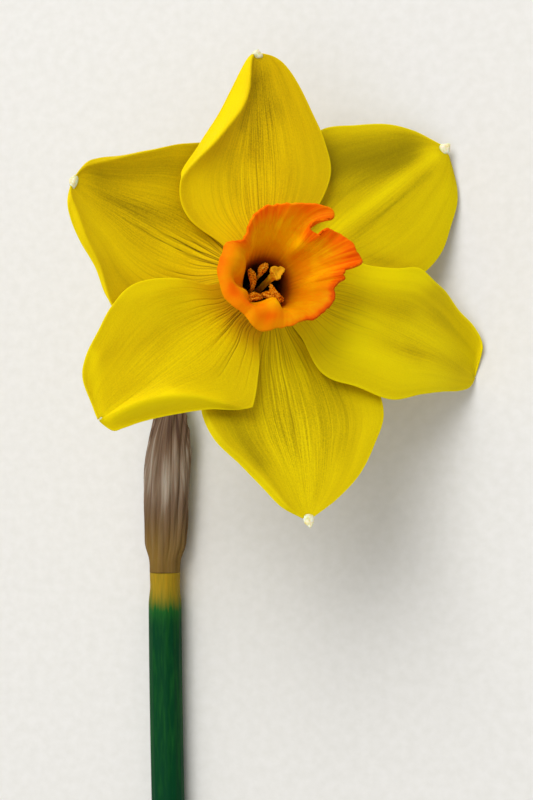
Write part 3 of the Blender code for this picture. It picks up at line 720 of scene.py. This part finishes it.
def cupPoint(u, v):
    footBearing = cupLap(0, u, True)
    rimBearing = cupLap(1, u, True)
    rimRadius = cupLap(2, u)
    rimHeight = cupLap(3, u)
    rolled = np.clip(cupLap(4, u), 0, 1)
    fold = near(footBearing, cup["fold"], 14)
    x, y = np.cos(np.radians(footBearing)), np.sin(np.radians(footBearing))
    teeth = ripple(9 * x, 9 * y, 0.3) + 0.6 * ripple(23 * x, 23 * y, 5.3)
    rimRadius = rimRadius + cup["teeth"] * teeth * (1 - 0.6 * rolled)
    foot = cup["footHeight"]
    t = np.clip((v - cup["sleeve"]) / (1 - cup["sleeve"]), 0, 1)
    weights = ((1 - t) ** 3, 3 * (1 - t) ** 2 * t, 3 * (1 - t) * t**2, t**3)
    radii = (
        cup["footRadius"], cup["footRadius"] + 2.1 - 0.7 * rolled - 1.2 * fold,
        rimRadius - 3.2 - 0.4 * rolled - 3.4 * fold, rimRadius,
    )
    heights = (foot, foot + 3.6 + 2.8 * rolled, rimHeight - 2.2 + 5.4 * rolled, rimHeight)
    radius = sum(w * r for w, r in zip(weights, radii))
    height = sum(w * h for w, h in zip(weights, heights))
    for spot, spread, rise in cup["swells"]:
        swell = rise * near(footBearing, spot, spread) * hill(t - 0.45, 0.24)
        radius = radius - 0.6 * swell
        height = height + 0.8 * swell
    sunk = np.clip(1 - v / cup["sleeve"], 0, 1)
    radius = radius - (cup["footRadius"] - cup["sleeveRadius"]) * sunk
    height = height - (foot - cup["sleeveHeight"]) * sunk
    turn = np.radians(footBearing)
    pleats = np.cos(17 * turn + 0.8 * np.sin(3 * turn)) + 0.8 * ripple(11 * x, 11 * y, 2.2)
    calm = (1 - 0.5 * rolled) * (1 - 0.7 * near(footBearing, -45, 35))
    height = height + cup["pleats"] * pleats * t**3 * calm
    radius = radius + cup["ribs"] * np.cos(12 * turn) * smooth(t / 0.4)
    height = height + cup["uneven"] * ripple(2.2 * x, 2.2 * y, 3 * t + 8) * t
    bearing = np.radians(footBearing + (rimBearing - footBearing) * t**3)
    aside = (1 - t) ** 2 * (1 - sunk * 0.3)  # the throat lies a little off the middle of the rim
    x = radius * np.cos(bearing) + cup["shift"][0] * aside
    y = radius * np.sin(bearing) + cup["shift"][1] * aside
    return np.stack((x, y, height), axis=-1)


# Red-orange patches on the rolled lip: bearing, how far up the wall, spread in degrees, strength
cupPatches = [
    (-139, 0.80, 9, 0.5), (-112, 0.86, 13, 0.55), (172, 0.93, 10, 0.35), (-160, 0.85, 10, 0.6),
    (150, 0.85, 10, 0.3), (-126, 0.66, 7, 0.35), (-40, 0.98, 26, 0.3),
]


def cupMarks(u, v):
    bearing = cupLap(0, u, True)
    rolled = np.clip(cupLap(4, u), 0, 1)
    # the red reaches further down the wall at the top and the right
    start = 0.90 - 0.26 * np.clip(near(bearing, 85, 45) + near(bearing, 15, 26), 0, 1)
    top = near(bearing, 88, 50) * (1 - rolled)
    red = 0.24 - 0.2 * top + 0.66 * smooth((v - start) / (1 - start)) * (1 - 0.75 * rolled) - 0.06 * rolled
    for spot, high, spread, strength in cupPatches:
        red = red + strength * near(bearing, spot, spread) * hill(v - high, 0.11)
    far = near(bearing, 32, 75) * (1 - rolled)
    streaky = 0.08 + 0.85 * smooth((v - start + 0.1) / 0.25) * (1 - 0.8 * rolled) * (1 - 0.45 * top)
    low = near(bearing, -40, 40) * (1 - rolled)
    # painted light: the far wall, the top and the rolled lip are painted brighter, the wall low on the right
    # darker
    glow = 0.93 + 0.06 * far + 0.14 * top - 0.14 * low + 0.08 * rolled
    glow = glow + 0.26 * top * smooth((v - 0.7) / 0.3) * (1 - near(bearing, 62, 12))
    glow = glow - 0.2 * near(bearing, 62, 6) * smooth((v - 0.4) / 0.2)  # painted shade on the tongue and its root
    wide = 0.05 + 0.06 * near(bearing, -20, 50)  # the wall is browner low on the right: the throat's painted shade reaches further up there
    # deep: darker towards the bottom of the throat, its own tint and painted shade
    spots = (0.02, 0.12, 0.17, 0.23, 0.31, 0.42, 0.55)
    deep = np.interp(v + wide, spots, (1, 0.80, 0.60, 0.42, 0.26, 0.11, 0))
    turn = np.radians(bearing)
    deep = deep + 0.07 * ripple(16 * np.cos(turn), 16 * np.sin(turn), 1.2 * v) * hill(v - 0.28, 0.14)
    return {"red": red, "deep": np.clip(deep, 0, 1), "glow": glow, "streaky": streaky}


def clearOutside(piece):  # the dark throat shows on the inner skin only
    beside = (readPoints(piece).reshape(2, -1, 3) / mm - throat) @ np.array(axes)
    outer = int(np.argmax(np.hypot(beside[..., 0], beside[..., 1]).mean(axis=1)))
    layer = piece.data.attributes["deep"].data
    values = np.empty(len(layer), np.float32)
    layer.foreach_get("value", values)
    values.reshape(2, -1)[outer] = 0
    layer.foreach_set("value", values)


cupPiece = addSheet(
    "cup_skin", cup["columns"], cup["rows"], lambda u, v: fromBloom(cupPoint(u, v)), cupMarks, closed=True,
)
applyModifier(cupPiece, "SOLIDIFY", thickness=cup["thickness"] * mm, offset=0, use_even_offset=False)
clearOutside(cupPiece)
finishPiece(cupPiece, "corona", cupSkin, "corona")
print("cup done")


def bezier(a, b, c, d, count):
    t = np.linspace(0, 1, count)[:, None]
    return (1 - t) ** 3 * a + 3 * (1 - t) ** 2 * t * b + 3 * (1 - t) * t**2 * c + t**3 * d


# How far along a line each point is in mm, and the points with two directions beside it
def lineFrame(line, upright=(0, 0, 1)):
    travelled = np.concatenate(([0], np.cumsum(np.linalg.norm(np.diff(line, axis=0), axis=1))))
    forward = np.gradient(line, axis=0)
    forward /= np.linalg.norm(forward, axis=1)[:, None]
    sideways = np.cross(forward, upright)
    sideways /= np.linalg.norm(sideways, axis=1)[:, None]
    return travelled, (line, sideways, np.cross(sideways, forward))


def frameAt(distance, travelled, parts):
    return [np.stack([np.interp(distance, travelled, part[:, i]) for i in range(3)], -1) for part in parts]


def addStalk(name, line, profile, columns, rows, section=None, tone=None, upright=(0, 0, 1)):
    # line: points in mm; profile: (share of the line, radius) from pole to pole
    travelled, parts = lineFrame(np.asarray(line, float), upright)
    knots = np.array(profile, float)
    lengths = np.hypot(np.diff(knots[:, 0]) * travelled[-1], np.diff(knots[:, 1]))
    walk = np.concatenate(([0], np.cumsum(lengths))) / lengths.sum()

    def shape(u, v):
        share = np.interp(v, walk, knots[:, 0])
        radius = np.interp(v, walk, knots[:, 1])
        turn = 2 * math.pi * u
        if section:
            radius = radius * section(turn, share)
        middle, across, over = frameAt(share * travelled[-1], travelled, parts)
        wide, high = (radius * np.cos(turn))[:, None], (radius * np.sin(turn))[:, None]
        return (middle + across * wide + over * high) * mm

    def marks(u, v):
        share = np.interp(v, walk, knots[:, 0])
        return {"tone": tone(2 * math.pi * u, share, v) if tone else 0.5 + 0 * u}

    return addSheet(name, columns, rows, shape, marks, closed=True)


def onTable(across, along, height):
    return np.array([bloom["place"][0] + across, bloom["place"][1] + along, height])


stem = {
    "radius": 3.4, "hollowRadius": 1.9, "hollowDepth": 10.0, "across": -32.4, "joint": -56.0,
    "cutEnd": (-28.4, -212.0), "bend": 50.0, "sway": 1.2, "edges": 0.05, "ridges": 0.012,
    "tube": -20.0, "ovary": 9.0, "pedicel": 1.4, "gap": 0.3,
}


def neckLine(count):
    start = throat + face * (stem["tube"] - stem["ovary"] - stem["gap"])
    end = onTable(stem["across"], stem["joint"] - 0.5, stem["radius"])
    return bezier(start, start - face * 10.0, end + np.array([0, 46.0, 0]), end, count)


# scape: two faint edges along it, a swollen yellow-brown joint at its top, a hollow at its cut end
top = onTable(stem["across"], stem["joint"], stem["radius"])
end = onTable(*stem["cutEnd"], stem["radius"])
bend = np.array([0, -stem["bend"], 0])
scapeLine = bezier(top, top + bend, end - bend - np.array([stem["sway"], 0, 0]), end, 120)
scapeLength = np.linalg.norm(np.diff(scapeLine, axis=0), axis=1).sum()
hollow = 1 - stem["hollowDepth"] / scapeLength
radius = stem["radius"]


def scapeSection(turn, share):
    return 1 - stem["edges"] * (1 - np.abs(np.cos(turn))) - stem["ridges"] * np.cos(14 * turn)


def scapeTone(turn, share, v):
    down = share * scapeLength  # mm below the joint
    tone = 0.05 + 0.50 * smooth((down - 3.5) / 10.0) + 0.22 * smooth((down - 20) / 60)
    tone = tone + 0.03 * np.sin(down / 9)
    cut = smooth((v - 0.932) / 0.004)
    return tone * (1 - cut) + 1.0 * cut


profile = [
    (0, 0), (0, radius - 0.9), (0.002, radius - 0.45), (0.012, radius - 0.25), (0.03, radius - 0.35),
    (0.05, radius), (0.5, radius), (0.998, radius), (1, radius - 0.25), (1, stem["hollowRadius"]),
    (hollow, stem["hollowRadius"] - 0.2), (hollow, 0),
]
scape = addStalk("scape_skin", scapeLine, profile, 72, 220, scapeSection, scapeTone)
finishPiece(scape, "stem", stemSkin, "scape")

radius = stem["pedicel"]
pedicel = addStalk(
    "pedicel_skin", neckLine(90), [(0, 0), (0, radius + 0.25), (0.05, radius), (1, radius), (1, 0)], 32, 90,
    lambda turn, share: 1 + 0.05 * np.cos(3 * turn), lambda turn, share, v: 0.35 + 0.4 * (1 - share),
)
finishPiece(pedicel, "ovary", stalkSkin, "pedicel")


# ovary: three swollen lobes
def ovarySection(turn, share):
    lobes = 0.05 * np.cos(3 * turn) - 0.03 * np.abs(np.sin(3 * turn)) ** 0.5
    return 1 + lobes * np.sin(math.pi * share)


ovaryLine = [throat + face * (stem["tube"] - s) for s in np.linspace(-0.2, stem["ovary"] + 0.3, 20)]
swell = [(0, 0)] + [
    (s, 2.5 * (1 - s) + 1.5 * s + 1.2 * math.sin(math.pi * s) ** 0.8) for s in np.linspace(0, 1, 24)
] + [(1, 0)]
ovary = addStalk(
    "ovary_skin", ovaryLine, swell, 60, 44, ovarySection,
    lambda turn, share, v: 0.45 + 0.35 * (1 - share) + 0.1 * np.cos(3 * turn),
)
finishPiece(ovary, "ovary", ovarySkin, "ovary")

# perianth tube: the outer wall from the ovary up to the petals, and down again inside the throat
tubeTop = 0.2
tubeFoot = stem["tube"] - 0.1
tubeLine = [throat + face * h for h in np.linspace(tubeFoot, tubeTop, 60)]
tubeProfile = [
    (stem["tube"], 0), (stem["tube"], 2.9), (-13, 3.6), (-7.5, 4.6), (-3.8, 5.9), (-2.2, 7.0), (-0.4, 7.05),
    (0, 6.8), (0.2, 6.2), (0.1, 5.45), (-3.3, 4.85), (-3.7, 4.45), (-5, 4.1), (-11, 2.8), (-16.5, 1.8),
    (-17, 0),
]
tubeProfile = [((h - tubeFoot) / (tubeTop - tubeFoot), r) for h, r in tubeProfile]


def tubeTone(turn, share, v):
    # inside the throat the wall is painted near black: painted shade of the deep tube
    inside = smooth((v - 0.60) / 0.06)
    outer = 0.45 + 0.35 * share + 0.2 * smooth((share - 0.8) / 0.15) + 0.05 * np.cos(6 * turn)
    return outer * (1 - inside) + (0.02 + 0.25 * smooth((share - 0.6) / 0.4)) * inside


tube = addStalk(
    "tube_skin", tubeLine, tubeProfile, 96, 120, lambda turn, share: 1 - 0.02 * np.abs(np.sin(3 * turn)),
    tubeTone, upright=axes.col[1],
)
finishPiece(tube, "tube", tubeSkin, "perianth_tube")
print("stalks done")

# spathe: a dry sheath round the pedicel, split along its underside, creased along its length, long pointed
sheath = {
    "length": 34.6, "wrap": 150.0, "seat": 2.3, "swell": 2.4, "thickness": 0.22, "crease": 0.45,
    "overlap": 1.1, "hug": 3.05,  # how far its foot runs down over the joint, and its radius there, mm
}


def spatheShape(u, v):
    line = neckLine(240)[::-1]
    line = np.concatenate(([line[0] - (line[1] - line[0]) * 12], line))
    travelled, parts = lineFrame(line)
    distance = travelled[1] - sheath["overlap"] + (sheath["length"] + sheath["overlap"]) * v
    middle, across, over = frameAt(distance, travelled, parts)
    away = smooth((v - 0.03) / 0.14)  # 0 where it hugs the joint
    wrap = math.radians(sheath["wrap"]) * (1 - 0.72 * v**2.2)
    wrap = wrap + math.radians(179 - sheath["wrap"]) * (1 - away)
    turn = (2 * u - 1) * wrap
    swell = np.sin(math.pi * (0.12 + 0.75 * v)) ** 0.7
    crease = 0.10 * np.cos(17 * turn + 2 * v) + sheath["crease"] * ripple(4 * turn, 2.5 * v, 3.1)
    crease = (crease + 0.14 * ripple(9 * turn, 5 * v, 9.1)) * away
    hug = sheath["hug"] * (1 - away) + crease
    wide = hug + (sheath["seat"] + sheath["swell"] * swell) * away
    deep = hug + (sheath["seat"] + 0.5 * swell) * away
    return (middle + across * (wide * np.sin(turn))[:, None] + over * (deep * np.cos(turn))[:, None]) * mm


def spatheMarks(u, v):
    across = 2 * u - 1
    tone = 0.40 + 0.26 * ripple(across * 6, v * 2.2, 4.0) + 0.16 * ripple(across * 16, v * 3, 1.0)
    tone = tone + 0.22 * smooth((v - 0.25) / 0.3) * (1 - smooth((v - 0.6) / 0.3))
    tone = tone - 0.12 * (1 - smooth(v / 0.2))
    warm = 0.7 * (1 - smooth((v - 0.05) / 0.4)) * (0.8 + 0.4 * ripple(across * 5, v * 2, 7.0))
    return {"tone": tone, "warm": warm}


spathe = addSheet("spathe_skin", 120, 110, spatheShape, spatheMarks)
applyModifier(spathe, "SOLIDIFY", thickness=sheath["thickness"] * mm, offset=0, use_even_offset=False)
finishPiece(spathe, "spathe", sheathPaper, "spathe")
print("spathe done")


# Stamens: bearing of the foot in degrees, middle of the anther in mm, its direction
stamens = [
    (165.0, (-4.3, -0.3, 3.3), (-0.95, 3.1, 2.3)), (118.0, (-2.3, 1.5, 4.0), (0.87, 1.8, 2.0)),
    (-122.0, (-4.1, -3.7, 3.2), (-2.66, -0.5, 0.6)), (-78.0, (-0.9, -3.3, 2.9), (-2.24, 0.8, 0.2)),
    (-25.0, (0.5, -2.7, 2.7), (-2.04, 2.24, 0.6)), (48.0, (2.4, 2.0, -0.5), (0.6, 0.8, 3.0)),
]
anther = {
    "halfLengths": (2.2, 1.5, 1.9, 1.7, 2.0, 1.9), "curls": (-0.6, 0.2, -0.5, -0.4, 0.45, 0.3),
    "width": 0.72, "depth": 0.6, "grain": 0.2, "groove": 0.4, "waist": 0.16,
}
filament = {"footRadius": 2.1, "footHeight": -11.0, "radius": 0.4, "topRadius": 0.32, "reach": 1.2}


def addAnther(number, middle, direction):
    piece = addBall(f"anther_{number}_pollen", 64, 56)
    forward = np.array(Vector(direction).normalized())
    outward = np.cross(forward, (0.3, -0.4, 1.0))  # it curls in the plane that is seen from above
    outward /= np.linalg.norm(outward)
    turn = np.stack((outward, np.cross(forward, outward), forward), axis=-1)
    x, y, z = readPoints(piece).T
    lobes = 1 - anther["groove"] * hill(x, 0.25)  # the groove between its two sacs
    waist = 1 - anther["waist"] * np.cos(2.6 * z + number) + 0.1 * z
    coarse = ripple(x * 2, y * 2, z * 4 + number * 9, 0.5)
    clumps = 1 + anther["grain"] * (coarse + 0.7 * ripple(x * 2, y * 2, z * 5 + number * 9, 0.2))
    curl = anther["curls"][number - 1] * (z**2 - 0.4)
    spots = np.stack((
        x * anther["width"] * waist * clumps + curl, y * anther["depth"] * lobes * waist * clumps,
        z * anther["halfLengths"][number - 1] * clumps,
    ), axis=-1)
    writePoints(piece, fromBloom(spots @ turn.T + np.array(middle)))
    shadeSmooth(piece)
    finishPiece(piece, "anther", pollen, f"anther_{number}")


def addFilament(number, bearing, middle, direction):
    forward = np.array(Vector(direction).normalized())
    end = np.array(middle) - forward * filament["reach"]
    bearing = math.radians(bearing)
    out = filament["footRadius"]
    foot = np.array([math.cos(bearing) * out, math.sin(bearing) * out, filament["footHeight"]])
    line = bezier(foot, foot + np.array([0, 0, 6.0]), end - forward * 1.5 - np.array([0, 0, 2.0]), end, 30)
    piece = addStalk(
        f"filament_{number}_skin", fromBloom(line) / mm,
        [(0, 0), (0, filament["radius"]), (1, filament["topRadius"]), (1, 0)], 16, 40, upright=axes.col[1],
    )
    finishPiece(piece, "filament", filamentSkin, f"filament_{number}")


for number, (bearing, middle, direction) in enumerate(stamens, 1):
    addAnther(number, middle, direction)
    addFilament(number, bearing, middle, direction)

# pistil: the style, and a stigma of three lobes that open at its top
pistil = {
    "foot": np.array([0, -0.2, -16.5]), "top": np.array([-0.2, 0.5, 6.5]),
    "profile": [
        (0, 0), (0, 0.5), (0.5, 0.55), (0.80, 0.62), (0.90, 0.78), (0.955, 1.05), (0.985, 1.26), (1, 1.18),
        (0.996, 0.85), (0.982, 0.4), (0.978, 0),
    ],
    "lobes": 0.27, "lumps": 0.22,
}


def stigmaSection(turn, share):
    opening = smooth((share - 0.88) / 0.10)
    lumps = ripple(2.5 * np.cos(turn), 2.5 * np.sin(turn), share * 60)
    return 1 + (pistil["lobes"] * np.cos(3 * (turn - 0.6)) + pistil["lumps"] * lumps) * opening


def styleTone(turn, share, v):
    return 0.3 + 0.65 * smooth((share - 0.4) / 0.25) - 0.4 * smooth((share - 0.88) / 0.06)


styleLine = bezier(
    pistil["foot"], pistil["foot"] + np.array([0, 0, 8.0]), pistil["top"] - np.array([0.1, 0.4, 8.0]),
    pistil["top"], 50,
)
style = addStalk(
    "pistil_skin", fromBloom(styleLine) / mm, pistil["profile"], 60, 150, stigmaSection, styleTone,
    upright=axes.col[1],
)
finishPiece(style, "pistil", styleSkin, "pistil")
print("stamens and pistil done")


studio = {
    "world": "#f2f2f0", "worldStrength": 0.42,
    # lamps: place in mm, size in m, watts
    "key": (-300, 1300, 1600, 1.5, 37.0), "fill": (-550, -750, 1600, 2.2, 9.0),
    "floor": 14.0,  # m
    "lens": 100.0, "sensor": 36, "cameraTilt": 20.0, "cameraOffset": (144.32, -22.04, 396.79),
}
deselectAll()
bpy.ops.mesh.primitive_plane_add(size=studio["floor"])
floor = bpy.context.object
floor.name = "floor"
paper, add = newMaterial("matt studio paper", Roughness=0.9)
spots = add("TexCoord").outputs["Object"]
fleck = add("TexNoise", {"Vector": spots, "Scale": 1 / (2 * mm), "Detail": 2})
tint = add("ValToRGB", {"Fac": fleck}, stops=[(0.3, "#e3e1dc"), (0.7, "#e8e6e2")])
finishSkin(paper, tint.outputs["Color"])
floor.data.materials.append(paper)

world = bpy.data.worlds.new("studio")
world.use_nodes = True
backdrop = world.node_tree.nodes["Background"].inputs
backdrop["Color"].default_value = linear(studio["world"])
backdrop["Strength"].default_value = studio["worldStrength"]
bpy.context.scene.world = world

for name in ("key", "fill"):
    *offset, size, power = studio[name]
    spot = Vector((bloom["place"][0] + offset[0], bloom["place"][1] + offset[1], offset[2])) * mm
    bpy.ops.object.light_add(type="AREA", location=spot)
    lamp = bpy.context.object
    lamp.name = name + "_light"
    lamp.data.size = size
    lamp.data.energy = power
    lamp.rotation_euler = (spot - place * mm).to_track_quat("Z", "Y").to_euler()

tilt = math.radians(studio["cameraTilt"])
right = Vector((math.cos(tilt), 0, -math.sin(tilt)))
back = Vector((math.sin(tilt), 0, math.cos(tilt)))
bpy.ops.object.camera_add()
camera = bpy.context.object
camera.data.lens = studio["lens"]
camera.data.sensor_width = studio["sensor"]
camera.data.clip_start = 0.01
camera.data.clip_end = 20
turn = Matrix((right, Vector((0, 1, 0)), back)).transposed().to_4x4()
camera.matrix_world = Matrix.Translation((place + Vector(studio["cameraOffset"])) * mm) @ turn
bpy.context.scene.camera = camera
deselectAll()

print("studio done")
